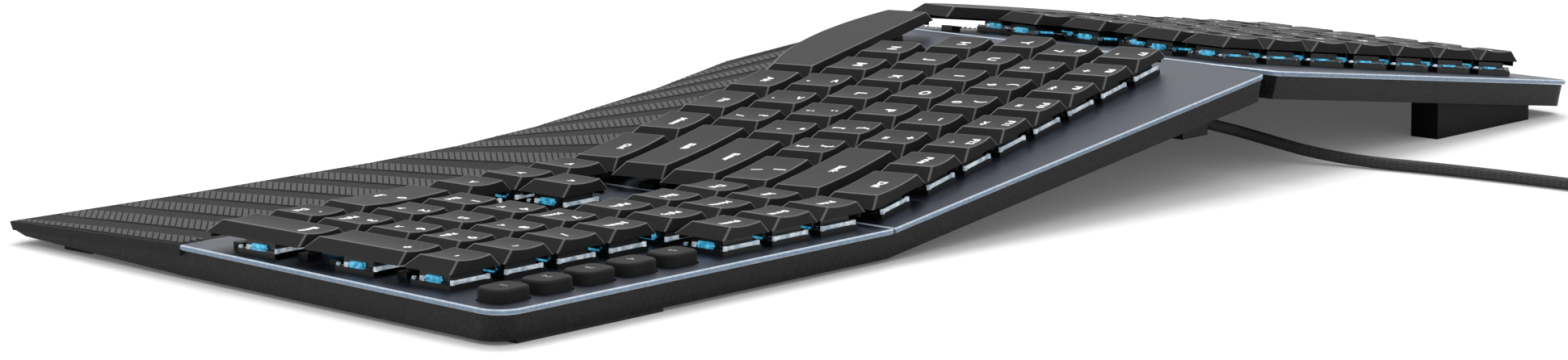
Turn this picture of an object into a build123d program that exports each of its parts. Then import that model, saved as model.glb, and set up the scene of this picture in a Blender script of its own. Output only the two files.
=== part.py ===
"""Ergonomic full-size mechanical keyboard with a tented split, a separate number block and a palm rest.

Frame: millimetres, +Z up, +X to the typist's right, +Y away from the typist. The origin lies on the
desk, below the middle of the keyboard without its cord.
Each half of the letter keys lies on a plane that rises towards the ridge in the middle and is turned
in that plane, so every key is placed on its own section: a plane on the top face of that plate.
"""
import math
import os

from build123d import *

os.makedirs("parts", exist_ok=True)

# Key pitch and the places of the three sections, each measured from its neighbour on the right
PITCH = 19.05                 # one key unit
TENT = 7.8166                 # slope of each half towards the ridge, degrees
SPLAY = 8.2046                # turn of each half in its own plane, degrees
NAV_GAP = 1.95                # extra gap between number keys and navigation keys
SIDE_R_REAR = 245.4           # right side at the rear edge
PAD_MARGIN = 8.4              # right side to the number keys
FOLD_MARGIN = 4.4             # navigation keys to the fold
RIGHT_W = 168.9               # right half, fold to ridge
LEFT_W = 160.4                # left half at the rear edge, ridge to left side
PAD_COLUMNS = 7               # number keys and navigation keys side by side
PAD_X = SIDE_R_REAR - PAD_MARGIN
FOLD_X = PAD_X - PAD_COLUMNS * PITCH - NAV_GAP - FOLD_MARGIN
RIDGE_X = FOLD_X - RIGHT_W    # line where the two halves meet
PAD_PLATE_Z = 9.6             # top face of the flat plate
TAN_TENT = math.tan(math.radians(TENT))
RIDGE_Z = PAD_PLATE_Z + (FOLD_X - RIDGE_X) * TAN_TENT
REAR_Y = 110.3                # straight rear edge of all three plates
ROW_GAP_PAD = 2.2             # extra gap in front of the rear key row, on each section
ROW_GAP_RIGHT = 1.4
ROW_GAP_LEFT = 2.45

# Outline
SIDE_R_FRONT = SIDE_R_REAR - 13.0
SIDE_L_REAR = RIDGE_X - LEFT_W
SIDE_L_FRONT = SIDE_L_REAR - 12.3
SIDE_FRONT_Y = -99.0
SLOT_HALF = 3.0               # half width of the slot between the halves at the rear edge
SLOT_DEPTH = 24.0

# Keycaps and switches, heights above a plate's top face
CAP_GAP = 1.05
CAP_TOP = 8.0
CAP_HEIGHT = 3.4
CAP_BOTTOM = CAP_TOP - CAP_HEIGHT
SIDE_INSET = 3.1
FRONT_INSET = 3.6
REAR_INSET = 0.3
CAP_WALL = 1.1
CEILING = 5.8
DISH = 0.8
STEM = 4.0
STEM_BOTTOM = 0.4
LID = 14.4
LID_TOP = 2.0
NUB = 11.5
NUB_TOP = 2.5
BASE = 13.6
CUTOUT = 14.0
WELL = 4.8
WELL_DEPTH = 3.4
PLATE_T = 1.5
BOARD_TOP = -4.2
BOARD_T = 1.2
LED = (3.2, 2.6, 1.0)
LED_Y = 4.7
LED_CLEAR = 0.15

# Front edge of the plates at the right side, the fold, the ridge and the left side
FRONT_R_Y, FRONT_FOLD_Y, FRONT_RIDGE_Y, FRONT_L_Y = -20.6, -20.6, -47.5, -22.4
JOINT = 0.35                  # half gap between neighbouring plates
CORNER_R = 7.5
SLOT_R = 3.0
BOARD_EDGE = 2.5

# Case
CASE_DEPTH = 8.6              # plate top to underside
CASE_INSET = 1.0              # the plates stand proud of the case by this much
CASE_DRAFT = 1.6
WALL = 2.0
FLOOR_T = 1.5
PAD_T = 3.0                   # palm pad
PAD_GAP = 0.2
PAD_SEAM = 0.15
SPINE_HALF = 5.0              # solid spine between the two hollow halves
BOSS_R = 2.4
BOSS_FOOT_R = 3.4
BOSS_CLEAR = 0.5              # around a boss, in the circuit board
SCREW_R = 0.9
SCREW_CLEAR = 0.05
SCREW_END = 0.4               # left of the plate above a screw's tip
HEAD_R = 2.0
HEAD_T = 1.3
HEAD_RECESS = 1.7

# Front edge of the palm pad: x, y and height, right to left
WAVE = [
    (FOLD_X + 71.1, -98.8, 5.1),
    (FOLD_X, -98.0, 4.9),
    (FOLD_X - 37.3, -99.5, 5.0),
    (FOLD_X - 73.9, -103.0, 5.9),
    (RIDGE_X + 35.6, -109.0, 9.9),
    (RIDGE_X, -110.3, 14.8),
    (RIDGE_X - 37.4, -109.0, 9.9),
    (RIDGE_X - 94.4, -103.0, 6.2),
    (RIDGE_X - 133.4, -100.0, 5.5),
]
RIDGE_STATION = 6
TIP_R = (-99.0, 6.1)
TIP_L = (-99.0, 5.4)
TIP_DROP = 3.7                # pad edge to underside at the front
TIP_UNDERCUT = 6.0
SEAM_IN = 1.2
SEAM_DROP = 2.4

# Rear leg and rubber feet: x, y of the near left corner, width, depth and height before the case
# cuts them
LEG_X = (RIDGE_X - 142.0, RIDGE_X - 92.0)
LEG_Y = (95.5, 105.5)
FEET = (
    (SIDE_R_REAR - 60.9, 98.0, 52.5, 9.5, 2.0),
    (SIDE_R_FRONT - 16.4, -79.5, 13.0, 11.5, 2.0),
    (SIDE_L_FRONT + 7.3, -79.5, 12.0, 11.5, 3.6),
)

# Cord: braided, one and three quarter metres, mostly put away in a coil behind the keyboard
CORD_D = 3.6
CORD_REST = CORD_D / 2 + 0.1  # height of its middle where it lies on the desk
GLAND_AT = (RIDGE_X - 0.4, 76.9, 15.5)
GLAND_AIM = (-18.5, 2.9, -5.5)
GLAND_BLOCK = (12.0, 14.0, 10.5)   # width, depth and height of its lower face above the desk
SLEEVE = (10.0, 3.2, 2.4)     # length and end radii
LEAD_FIRST = 16.0
LEAD = [
    (-105.2, 108.0, CORD_REST),
    (-112.0, 148.0, CORD_REST),
    (-114.0, 190.0, CORD_REST),
    (-114.0, 228.0, CORD_REST),
]
TURN_PITCH = CORD_D + 0.6     # between neighbouring turns of one layer
LAYER_RISE = CORD_D + 0.8
COIL_R = 32.2                 # outermost turn
HALF_TURNS = 10               # in the lower layer, one less in the upper
PLUG_OUT = 10.5               # how far the last half turn swings out to the plug
PLUG_Z = 4.0
GRIP = (15.0, 24.0, 8.0)
SHELL = (12.0, 18.5, 4.5)
SHELL_WALL = 0.4
TONGUE = 1.7
TONGUE_GAP = 0.15
NECK = (6.0, 3.4, 2.4)
OCTAGON = math.tan(math.radians(22.5))

SINT, COST = math.sin(math.radians(TENT)), math.cos(math.radians(TENT))
SINS, COSS = math.sin(math.radians(SPLAY)), math.cos(math.radians(SPLAY))


def plate_z(x):
    """Height of the plates' top faces over a point of the desk."""
    if x >= FOLD_X:
        return PAD_PLATE_Z
    if x >= RIDGE_X:
        return PAD_PLATE_Z + (FOLD_X - x) * TAN_TENT
    return RIDGE_Z - (RIDGE_X - x) * TAN_TENT


# Section planes, on the plates' top faces. Origins: the rear right corner of the number block's
# front row, of the slash key and of the last key of the left function row.
PAD_Y = 7.45
RIGHT_X, RIGHT_Y = FOLD_X - 43.0, 19.6
LEFT_X, LEFT_Y = RIDGE_X - 13.9, 80.9
pad_section = Plane(origin=(PAD_X, PAD_Y, PAD_PLATE_Z))
right_section = Plane(
    origin=(RIGHT_X, RIGHT_Y, plate_z(RIGHT_X)),
    x_dir=(COSS * COST, SINS, -COSS * SINT),
    z_dir=(SINT, 0, COST),
)
left_section = Plane(
    origin=(LEFT_X, LEFT_Y, plate_z(LEFT_X)),
    x_dir=(COSS * COST, -SINS, COSS * SINT),
    z_dir=(-SINT, 0, COST),
)


def spot(section, x, y, z=0.0):
    return section.location * Location((x, y, z))


def over(section, x, y):
    """Section coordinates of the plate point above desk point x, y."""
    p = section.to_local_coords(Vector(x, y, plate_z(x)))
    return (p.X, p.Y)


# Key layout: (right edge, rear edge, width, depth) in key units from the section origin
GAP_PAD = ROW_GAP_PAD / PITCH
GAP_RIGHT = ROW_GAP_RIGHT / PITCH
GAP_LEFT = ROW_GAP_LEFT / PITCH
NAV_U = NAV_GAP / PITCH
HOME, UPPER, NUMBER, FUNCTION = 0.50, 1.235, 0.53, 0.49


def row(right, rear, count, width=1.0):
    return [(right - i * width, rear, width, 1.0) for i in range(count)]


RIGHT_KEYS = {
    "keys_function_right": row(FUNCTION + 0.99, 4 + GAP_RIGHT, 7) + [(2.95, 4 + GAP_RIGHT, 1.46, 1)],
    "keys_number_right": row(NUMBER, 3, 6),
    "keys_upper_right": row(UPPER, 2, 7),
    "keys_home_right": row(HOME, 1, 6),
    "keys_lower_right": row(0, 0, 5),
    "keys_modifier_right": [(2.266, -1, 1.6, 1), (0.67, -1, 1.21, 1), (-0.543, -1, 1.23, 1),
                            (-1.772, -1, 1.22, 1)],
    "key_backspace": [(2.836, 3, 2.306, 1)],
    "key_backslash": [(2.714, 2, 1.479, 1)],
    "key_enter": [(2.577, 1, 2.077, 1)],
    "key_shift_right": [(2.42, 0, 2.42, 1)],
}
LEFT_KEYS = {
    "keys_function_left": row(0, 0, 6),
    "key_escape": [(-6, 0, 1, 1)],
    "keys_number_left": row(0, -1 - GAP_LEFT, 7),
    "keys_upper_left": row(-0.5, -2 - GAP_LEFT, 5),
    "key_tab": [(-5.5, -2 - GAP_LEFT, 1.5, 1)],
    "keys_home_left": row(-0.25, -3 - GAP_LEFT, 5),
    "key_caps_lock": [(-5.25, -3 - GAP_LEFT, 1.75, 1)],
    "keys_lower_left": row(0.25, -4 - GAP_LEFT, 5),
    "key_shift_left": [(-4.75, -4 - GAP_LEFT, 2.25, 1)],
    "keys_modifier_left": [(-2.45, -5 - GAP_LEFT, 1.1, 1), (-3.55, -5 - GAP_LEFT, 1.1, 1),
                           (-4.65, -5 - GAP_LEFT, 1.1, 1), (-5.75, -5 - GAP_LEFT, 1.25, 1)],
}
PAD_KEYS = {
    "keys_number_pad": [(-c, r, 1, 1) for r in (1, 2, 3) for c in (1, 2, 3)]
    + [(-1, 0, 1, 1)] + row(0, 4, 4),
    "key_pad_zero": [(-2, 0, 2, 1)],
    "key_pad_enter": [(0, 1, 1, 2)],
    "key_pad_plus": [(0, 3, 1, 2)],
    "keys_navigation": [(-c - NAV_U, r, 1, 1) for r in (3, 4, 5 + GAP_PAD) for c in (4, 5, 6)],
    "key_arrow_left": [(-6 - NAV_U, 0, 1, 1)],
    "key_arrow_down": [(-5 - NAV_U, 0, 1, 1)],
    "key_arrow_right": [(-4 - NAV_U, 0, 1, 1)],
    "key_arrow_up": [(-5 - NAV_U, 1, 1, 1)],
}
# The two space bars: right edge, rear edge, width, and how far the front bulges past a normal key
SPACE_W = 3.76
SPACE_END = 2.6
SPACE_BULGE = 6.6
SPACE_RIGHT = (-2.992, -1)
SPACE_LEFT = (1.31, -5 - GAP_LEFT)
# Keys long enough for a stabiliser clip at each end
STABILISED = 2.0
CLIP = (3.6, 5.0, 1.5)
CLIP_FROM_END = 6.2
SPACE_CLIP = 25.0

MACRO_X = [SIDE_R_REAR - inset for inset in (12.7, 28.0, 43.2, 58.5, 73.8)]
MACRO_Y = 98.5
MACRO = (12.3, 9.9)
MACRO_R = 3.0
MACRO_TOP = 3.5
MACRO_CLEAR = 0.4
COLLAR_GAP = 0.1
COLLAR = 1.0                  # rim under the plate that keeps a macro button in, and its height


def centre(key):
    right, rear, w, d = key
    return ((right - w / 2) * PITCH, (rear - d / 2) * PITCH)


def switch_spots(section, groups, space):
    found = [spot(section, *centre(key)) for keys in groups.values() for key in keys]
    if space:
        found.append(spot(section, *centre((*space, SPACE_W, 1))))
    return found


def keycap(width, depth):
    """Hollow tapered cap with a dished top and its stem, over the key's centre."""
    w, d = width * PITCH - CAP_GAP, depth * PITCH - CAP_GAP
    shift = (FRONT_INSET - REAR_INSET) / 2
    top_w, top_d = w - 2 * SIDE_INSET, d - FRONT_INSET - REAR_INSET
    radius = (top_w ** 2 / 4 + DISH ** 2) / (2 * DISH)
    with BuildPart() as cap:
        with BuildSketch(Plane.XY.offset(CAP_BOTTOM)):
            Rectangle(w, d)
        with BuildSketch(Plane.XY.offset(CAP_TOP)):
            with Locations((0, shift)):
                Rectangle(top_w, top_d)
        loft()
        with BuildSketch(Plane.XZ):
            with Locations((0, CAP_TOP - DISH + radius)):
                Circle(radius)
        extrude(amount=d, both=True, mode=Mode.SUBTRACT)
        fall = (CEILING - CAP_BOTTOM) / CAP_HEIGHT
        with BuildSketch(Plane.XY.offset(CAP_BOTTOM)):
            Rectangle(w - 2 * CAP_WALL, d - 2 * CAP_WALL)
        with BuildSketch(Plane.XY.offset(CEILING)):
            with Locations((0, shift * fall)):
                Rectangle(w - 2 * CAP_WALL - 2 * SIDE_INSET * fall,
                          d - 2 * CAP_WALL - (FRONT_INSET + REAR_INSET) * fall)
        loft(mode=Mode.SUBTRACT)
        with BuildSketch(Plane.XY.offset(STEM_BOTTOM)):
            Rectangle(STEM, STEM)
        extrude(amount=CEILING - STEM_BOTTOM + 0.3)
    return cap.part


def bar_outline(z, side, inset_side, inset_rear, inset_front):
    """Outline of a thumb bar at height z, with a front edge that bulges towards the typist."""
    x = (SPACE_W * PITCH - CAP_GAP) / 2 - inset_side
    half = (PITCH - CAP_GAP) / 2
    y_rear, y_end = half - inset_rear, -half - SPACE_END + inset_front
    with BuildSketch(Plane.XY.offset(z)) as outline:
        with BuildLine():
            Polyline((-x, y_end), (-x, y_rear), (x, y_rear), (x, y_end))
            ThreePointArc((x, y_end), (-side * x * 0.2, -half - SPACE_BULGE + inset_front), (-x, y_end))
        make_face()
    return outline.sketch


def space_cap(side):
    fall = (CEILING - CAP_BOTTOM) / CAP_HEIGHT
    with BuildPart() as cap:
        loft([bar_outline(CAP_BOTTOM, side, 0, 0, 0),
              bar_outline(CAP_TOP, side, SIDE_INSET, REAR_INSET, FRONT_INSET)])
        loft([bar_outline(CAP_BOTTOM, side, CAP_WALL, CAP_WALL, CAP_WALL),
              bar_outline(CEILING, side, CAP_WALL + SIDE_INSET * fall, CAP_WALL,
                          CAP_WALL + FRONT_INSET * fall)], mode=Mode.SUBTRACT)
        with BuildSketch(Plane.XY.offset(STEM_BOTTOM)):
            Rectangle(STEM, STEM)
        extrude(amount=CEILING - STEM_BOTTOM + 0.3)
    return cap.part


def write(part, name):
    part.label = name
    export_step(part, f"parts/{name}.step")


# Keys: one node for each key, or for a bank of like keys in one row
SECTIONS = ((right_section, RIGHT_KEYS), (left_section, LEFT_KEYS), (pad_section, PAD_KEYS))
caps = {}
for section, groups in SECTIONS:
    for name, keys in groups.items():
        with BuildPart() as key_node:
            for key in keys:
                size = (key[2], key[3])
                if size not in caps:
                    caps[size] = keycap(*size)
                with Locations(spot(section, *centre(key))):
                    add(caps[size])
        write(key_node.part, name)

for section, key, side, name in ((right_section, SPACE_RIGHT, 1, "key_space_right"),
                                 (left_section, SPACE_LEFT, -1, "key_space_left")):
    with BuildPart() as space_node:
        with Locations(spot(section, *centre((*key, SPACE_W, 1)))):
            add(space_cap(side))
    write(space_node.part, name)

# Soft macro buttons: a rim under the plate keeps each one in its opening
for i, x in enumerate(MACRO_X):
    with BuildPart() as macro_key:
        with BuildSketch(Plane((x, MACRO_Y, PAD_PLATE_Z + MACRO_TOP))):
            RectangleRounded(*MACRO, MACRO_R)
        extrude(amount=-(MACRO_TOP + PLATE_T + COLLAR_GAP + COLLAR))
        fillet(macro_key.faces().sort_by(Axis.Z)[-1].edges(), 0.9)
        with BuildSketch(Plane((x, MACRO_Y, PAD_PLATE_Z - PLATE_T - COLLAR_GAP))):
            RectangleRounded(MACRO[0] + 2, MACRO[1] + 2, MACRO_R + 1)
        extrude(amount=-COLLAR)
    write(macro_key.part, f"macro_key_{i + 1}")

# Switches: a black base through the plate, a clear lid on it and a light in the lid
with BuildPart() as base_unit:
    with BuildSketch(Plane.XY.offset(BOARD_TOP)):
        Rectangle(BASE, BASE)
    extrude(amount=-BOARD_TOP)
    with BuildSketch():
        Rectangle(WELL, WELL)
    extrude(amount=-WELL_DEPTH, mode=Mode.SUBTRACT)

with BuildPart() as lid_unit:
    with BuildSketch():
        Rectangle(LID, LID)
    extrude(amount=LID_TOP)
    with BuildSketch(Plane.XY.offset(LID_TOP)):
        Rectangle(NUB, NUB)
    extrude(amount=NUB_TOP - LID_TOP)
    with BuildSketch():
        Rectangle(WELL, WELL)
    extrude(amount=NUB_TOP, mode=Mode.SUBTRACT)
    with BuildSketch():
        with Locations((0, LED_Y)):
            Rectangle(LED[0] + 2 * LED_CLEAR, LED[1] + 2 * LED_CLEAR)
    extrude(amount=LED[2] + LED_CLEAR, mode=Mode.SUBTRACT)

with BuildPart() as led_unit:
    with Locations((0, LED_Y, 0)):
        Box(*LED, align=(Align.CENTER, Align.CENTER, Align.MIN))

pad_spots = switch_spots(pad_section, PAD_KEYS, None)
right_spots = switch_spots(right_section, RIGHT_KEYS, SPACE_RIGHT)
left_spots = switch_spots(left_section, LEFT_KEYS, SPACE_LEFT)
print("switches", len(pad_spots), len(right_spots), len(left_spots))

for side, spots in (("number_pad", pad_spots), ("right", right_spots), ("left", left_spots)):
    with BuildPart() as switch_bases:
        with Locations(*spots):
            add(base_unit.part)
    write(switch_bases.part, f"switch_bases_{side}")
    with BuildPart() as switch_lids:
        with Locations(*spots):
            add(lid_unit.part)
    write(switch_lids.part, f"switch_lids_{side}")

with BuildPart() as led_lights:
    with Locations(*(pad_spots + right_spots + left_spots)):
        add(led_unit.part)
write(led_lights.part, "led_lights")

# Stabiliser clips stand on the plates under both ends of every long key
clip_spots = []
for section, groups in SECTIONS:
    for keys in groups.values():
        for key in keys:
            x, y = centre(key)
            if key[2] >= STABILISED:
                reach = key[2] * PITCH / 2 - CLIP_FROM_END
                clip_spots += [spot(section, x + s * reach, y) for s in (-1, 1)]
            if key[3] >= STABILISED:
                reach = key[3] * PITCH / 2 - CLIP_FROM_END
                turn = Location((0, 0, 0), (0, 0, 90))
                clip_spots += [spot(section, x, y + s * reach) * turn for s in (-1, 1)]
for section, key in ((right_section, SPACE_RIGHT), (left_section, SPACE_LEFT)):
    x, y = centre((*key, SPACE_W, 1))
    clip_spots += [spot(section, x + s * SPACE_CLIP, y) for s in (-1, 1)]
with BuildPart() as stabiliser_clips:
    with Locations(*clip_spots):
        Box(*CLIP, align=(Align.CENTER, Align.CENTER, Align.MIN))
write(stabiliser_clips.part, "stabiliser_clips")


def side_x(y, rear_x, front_x):
    return front_x + (rear_x - front_x) * (y - SIDE_FRONT_Y) / (REAR_Y - SIDE_FRONT_Y)


def right_x(y):
    return side_x(y, SIDE_R_REAR, SIDE_R_FRONT)


def left_x(y):
    return side_x(y, SIDE_L_REAR, SIDE_L_FRONT)


def plate_front(x):
    """Front edge of the plates, where the palm pad begins."""
    if x >= FOLD_X:
        return FRONT_FOLD_Y
    if x >= RIDGE_X:
        return FRONT_FOLD_Y + (FRONT_RIDGE_Y - FRONT_FOLD_Y) * (FOLD_X - x) / (FOLD_X - RIDGE_X)
    reach = RIDGE_X - left_x(FRONT_L_Y)
    return FRONT_RIDGE_Y + (FRONT_L_Y - FRONT_RIDGE_Y) * (RIDGE_X - x) / reach


# Screw bosses, in key units on each section, between the key rows where no switch stands
BOSSES = (
    (pad_section, ((-1, 0), (-1, 4 + GAP_PAD / 2), (-4 - NAV_U / 2, 0), (-4 - NAV_U / 2, 4 + GAP_PAD / 2))),
    (right_section, ((2.1, 0), (2.1, 3), (-4.6, 3), (-4.6, 0))),
    (left_section, ((-0.8, -GAP_LEFT / 2 - 1), (-6.2, -GAP_LEFT / 2 - 1), (-0.8, -4 - GAP_LEFT),
                    (-6.2, -4 - GAP_LEFT))),
)
boss_spots = [spot(section, x * PITCH, y * PITCH) for section, spots in BOSSES for x, y in spots]
underside = -CASE_DEPTH * COST


def cylinders(spots, radius, bottom, top):
    with BuildPart() as made:
        with Locations(*spots):
            with Locations((0, 0, bottom)):
                Cylinder(radius, top - bottom, align=(Align.CENTER, Align.CENTER, Align.MIN))
    return made.part


def flat_piece(section, corners, rounded, spots, top, thickness):
    """Sheet in a section's plane: corners are desk points, the square cutouts take the switches."""
    with BuildPart() as made:
        with BuildSketch(section.offset(top)) as face:
            with BuildLine():
                Polyline(*[over(section, *c) for c in corners], close=True)
            make_face()
            for c, radius in rounded:
                fillet(face.sketch_local.vertices().sort_by_distance(Vector(*over(section, *c)))[0],
                       radius)
            for s in spots:
                p = section.to_local_coords(s.position)
                with Locations((p.X, p.Y)):
                    Rectangle(CUTOUT, CUTOUT, mode=Mode.SUBTRACT)
        extrude(amount=-thickness)
    return made.part


def plate(section, corners, rounded, spots, name):
    with BuildPart() as made:
        add(flat_piece(section, corners, rounded, spots, 0, PLATE_T))
        if section is pad_section:
            with BuildSketch(section):
                with Locations(*[(x - PAD_X, MACRO_Y - PAD_Y) for x in MACRO_X]):
                    RectangleRounded(MACRO[0] + 2 * MACRO_CLEAR, MACRO[1] + 2 * MACRO_CLEAR,
                                     MACRO_R + MACRO_CLEAR)
            extrude(amount=-PLATE_T, mode=Mode.SUBTRACT)
        holes = [spot(section, x * PITCH, y * PITCH) for s, at in BOSSES if s is section for x, y in at]
        add(cylinders(holes, SCREW_R + SCREW_CLEAR, -PLATE_T - 1, -SCREW_END), mode=Mode.SUBTRACT)
    write(made.part, name)


pad_rear = (right_x(REAR_Y), REAR_Y)
plate(pad_section,
      [(right_x(FRONT_R_Y), FRONT_R_Y), pad_rear, (FOLD_X + JOINT, REAR_Y), (FOLD_X + JOINT, FRONT_FOLD_Y)],
      [(pad_rear, CORNER_R)], pad_spots, "plate_number_pad")
slot_right = (RIDGE_X + SLOT_HALF, REAR_Y)
plate(right_section,
      [(FOLD_X - JOINT, plate_front(FOLD_X)), (FOLD_X - JOINT, REAR_Y), slot_right,
       (RIDGE_X + JOINT, REAR_Y - SLOT_DEPTH), (RIDGE_X + JOINT, FRONT_RIDGE_Y)],
      [(slot_right, SLOT_R)], right_spots, "plate_right")
slot_left = (RIDGE_X - SLOT_HALF, REAR_Y)
left_rear = (left_x(REAR_Y), REAR_Y)
plate(left_section,
      [(RIDGE_X - JOINT, FRONT_RIDGE_Y), (RIDGE_X - JOINT, REAR_Y - SLOT_DEPTH), slot_left, left_rear,
       (left_x(FRONT_L_Y), FRONT_L_Y)],
      [(slot_left, SLOT_R), (left_rear, CORNER_R)], left_spots, "plate_left")

def steady(x):
    return lambda y: x


# Circuit boards under the switches, with clearance round the screw bosses
side_room = CASE_INSET + WALL + BOARD_EDGE
BOARDS = (
    (pad_section, "number_pad", steady(FOLD_X + BOARD_EDGE), lambda y: right_x(y) - side_room),
    (right_section, "right", steady(RIDGE_X + SPINE_HALF + BOARD_EDGE), steady(FOLD_X - BOARD_EDGE)),
    (left_section, "left", lambda y: left_x(y) + side_room, steady(RIDGE_X - SPINE_HALF - BOARD_EDGE)),
)
for section, name, x0, x1 in BOARDS:
    rear = REAR_Y - CASE_INSET - WALL - BOARD_EDGE
    y0 = plate_front(x0(FRONT_R_Y)) + WALL + BOARD_EDGE
    y1 = plate_front(x1(FRONT_R_Y)) + WALL + BOARD_EDGE
    corners = [(x0(rear), rear), (x1(rear), rear), (x1(y1), y1), (x0(y0), y0)]
    board = flat_piece(section, corners, [], [], BOARD_TOP, BOARD_T)
    with BuildPart() as circuit_board:
        add(board)
        add(cylinders(boss_spots, BOSS_R + BOSS_CLEAR, underside, 0), mode=Mode.SUBTRACT)
    write(circuit_board.part, f"circuit_board_{name}")


def profile(x_at, points):
    """Closed outline in the upright plane through the line x = x_at(y); points are (y, z)."""
    slope = x_at(1.0) - x_at(0.0)
    stretch = math.hypot(slope, 1)
    with BuildSketch(Plane(origin=(x_at(0.0), 0, 0), x_dir=(slope, 1, 0), z_dir=(1, -slope, 0))) as made:
        with BuildLine():
            Polyline(*[(y * stretch, z) for y, z in points], close=True)
        make_face()
    return made.sketch


def stations(inset):
    """Lines across the keyboard, right to left, each with the front tip of the palm pad (y, z)."""
    found = [(lambda y: right_x(y) - inset, TIP_R)]
    found += [(steady(x), (y, z)) for x, y, z in WAVE]
    found.append((lambda y: left_x(y) + inset, TIP_L))
    return found


def pad_seam(x_at, tip):
    """Back and front ends of the seam between palm pad and case."""
    front = plate_front(x_at(FRONT_R_Y))
    return (front - PAD_GAP, plate_z(x_at(front)) - PAD_T), (tip[0] + SEAM_IN, tip[1] - SEAM_DROP)


def pad_profile(x_at, tip):
    back, fore = pad_seam(x_at, tip)
    return profile(x_at, [back, (back[0], back[1] + PAD_T), tip, fore])


def case_profile(x_at, tip):
    back, fore = pad_seam(x_at, tip)
    front, rear = back[0], REAR_Y - CASE_INSET
    return profile(x_at, [
        (rear, plate_z(x_at(rear)) - PLATE_T / COST),
        (rear - CASE_DRAFT, plate_z(x_at(rear)) - CASE_DEPTH),
        (front, plate_z(x_at(front)) - CASE_DEPTH),
        (tip[0] + TIP_UNDERCUT, tip[1] - TIP_DROP),
        (fore[0], fore[1] - PAD_SEAM),
        (front, back[1] - PAD_SEAM),
        (front, plate_z(x_at(front)) - PLATE_T / COST),
    ])


def hollow_profile(x_at):
    front, rear = plate_front(x_at(FRONT_R_Y)) + WALL, REAR_Y - CASE_INSET - WALL
    floor = CASE_DEPTH - FLOOR_T
    return profile(x_at, [
        (rear, plate_z(x_at(rear))),
        (rear - CASE_DRAFT, plate_z(x_at(rear)) - floor),
        (front, plate_z(x_at(front)) - floor),
        (front, plate_z(x_at(front))),
    ])


with BuildPart() as palm_rest_pad:
    loft([pad_profile(*s) for s in stations(0)], ruled=True)
write(palm_rest_pad.part, "palm_rest_pad")


def rear_corner(body, x, inset):
    """The body's upright edge at its rear corner near x."""
    at = Vector(x, REAR_Y - inset - CASE_DRAFT / 2, plate_z(x) - CASE_DEPTH / 2)
    return body.edges().sort_by_distance(at)[0]


def hollow(lines, x):
    """Room inside one half of the case, with its outer rear corner rounded."""
    inset = CASE_INSET + WALL
    with BuildPart() as room:
        loft([hollow_profile(line) for line in lines], ruled=True)
        fillet(rear_corner(room, x, inset), CORNER_R - inset)
    return room.part


inner = [x_at for x_at, tip in stations(CASE_INSET + WALL)]
case_right, case_left = right_x(REAR_Y) - CASE_INSET, left_x(REAR_Y) + CASE_INSET
with BuildPart() as bottom_case:
    loft([case_profile(*s) for s in stations(CASE_INSET)], ruled=True)
    fillet([rear_corner(bottom_case, x, CASE_INSET) for x in (case_right, case_left)],
           CORNER_R - CASE_INSET)
    add(hollow(inner[:RIDGE_STATION] + [steady(RIDGE_X + SPINE_HALF)], case_right - WALL),
        mode=Mode.SUBTRACT)
    add(hollow([steady(RIDGE_X - SPINE_HALF)] + inner[RIDGE_STATION + 1:], case_left + WALL),
        mode=Mode.SUBTRACT)
    # Slot between the halves at the rear, a little wider than in the plates
    with BuildSketch():
        with BuildLine():
            Polyline((RIDGE_X, REAR_Y - SLOT_DEPTH), (RIDGE_X + SLOT_HALF + CASE_INSET, REAR_Y),
                     (RIDGE_X - SLOT_HALF - CASE_INSET, REAR_Y), close=True)
        make_face()
    extrude(amount=RIDGE_Z, mode=Mode.SUBTRACT)
    add(cylinders(boss_spots, BOSS_FOOT_R, underside + 0.5, BOARD_TOP - BOARD_T - 0.3))
    add(cylinders(boss_spots, BOSS_R, underside + 0.5, -PLATE_T))
    add(cylinders(boss_spots, SCREW_R + SCREW_CLEAR, underside - 1, 0), mode=Mode.SUBTRACT)
    add(cylinders(boss_spots, HEAD_R + SCREW_CLEAR * 2, underside - 1, underside + HEAD_RECESS),
        mode=Mode.SUBTRACT)
write(bottom_case.part, "bottom_case")
print("bottom_case", round(bottom_case.part.volume), bottom_case.part.is_valid,
      len(bottom_case.part.solids()))

with BuildPart() as case_screws:
    add(cylinders(boss_spots, HEAD_R, underside + HEAD_RECESS - HEAD_T, underside + HEAD_RECESS))
    add(cylinders(boss_spots, SCREW_R, underside + HEAD_RECESS, -SCREW_END))
write(case_screws.part, "case_screws")

# Rear leg under the left half: its top follows the sloping underside
with BuildPart() as rear_left_leg:
    with BuildSketch(Plane.XZ.offset(-LEG_Y[1])):
        with BuildLine():
            Polyline(*[(x, 0) for x in LEG_X], *[(x, plate_z(x) - CASE_DEPTH) for x in reversed(LEG_X)],
                     close=True)
        make_face()
    extrude(amount=LEG_Y[1] - LEG_Y[0])
write(rear_left_leg.part, "rear_left_leg")

# Rubber feet: thin pads that fill the space between the case and the desk
with BuildPart() as rubber_feet:
    for x, y, w, d, h in FEET:
        with Locations((x, y, 0)):
            Box(w, d, h, align=(Align.MIN, Align.MIN, Align.MIN))
    add(bottom_case.part, mode=Mode.SUBTRACT)
write(rubber_feet.part, "rubber_feet")
print("feet", len(rubber_feet.part.solids()), [round(b.bounding_box().max.Z, 2)
                                              for b in rubber_feet.part.solids()])


def reach_from(at, aim, length):
    """Point at a length along a direction."""
    return Vector(*at) + Vector(*aim).normalized() * length


def tube(path, at, direction):
    """Round cord swept along a path that starts at a point in a direction."""
    with BuildPart() as made:
        with BuildSketch(Plane(origin=at, z_dir=direction)):
            Circle(CORD_D / 2)
        sweep(path=path)
    ratio = made.part.volume / (math.pi * CORD_D ** 2 / 4 * path.length)
    print("tube length", round(path.length, 1), "volume against section times length", round(ratio, 4))
    return made.part


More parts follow.
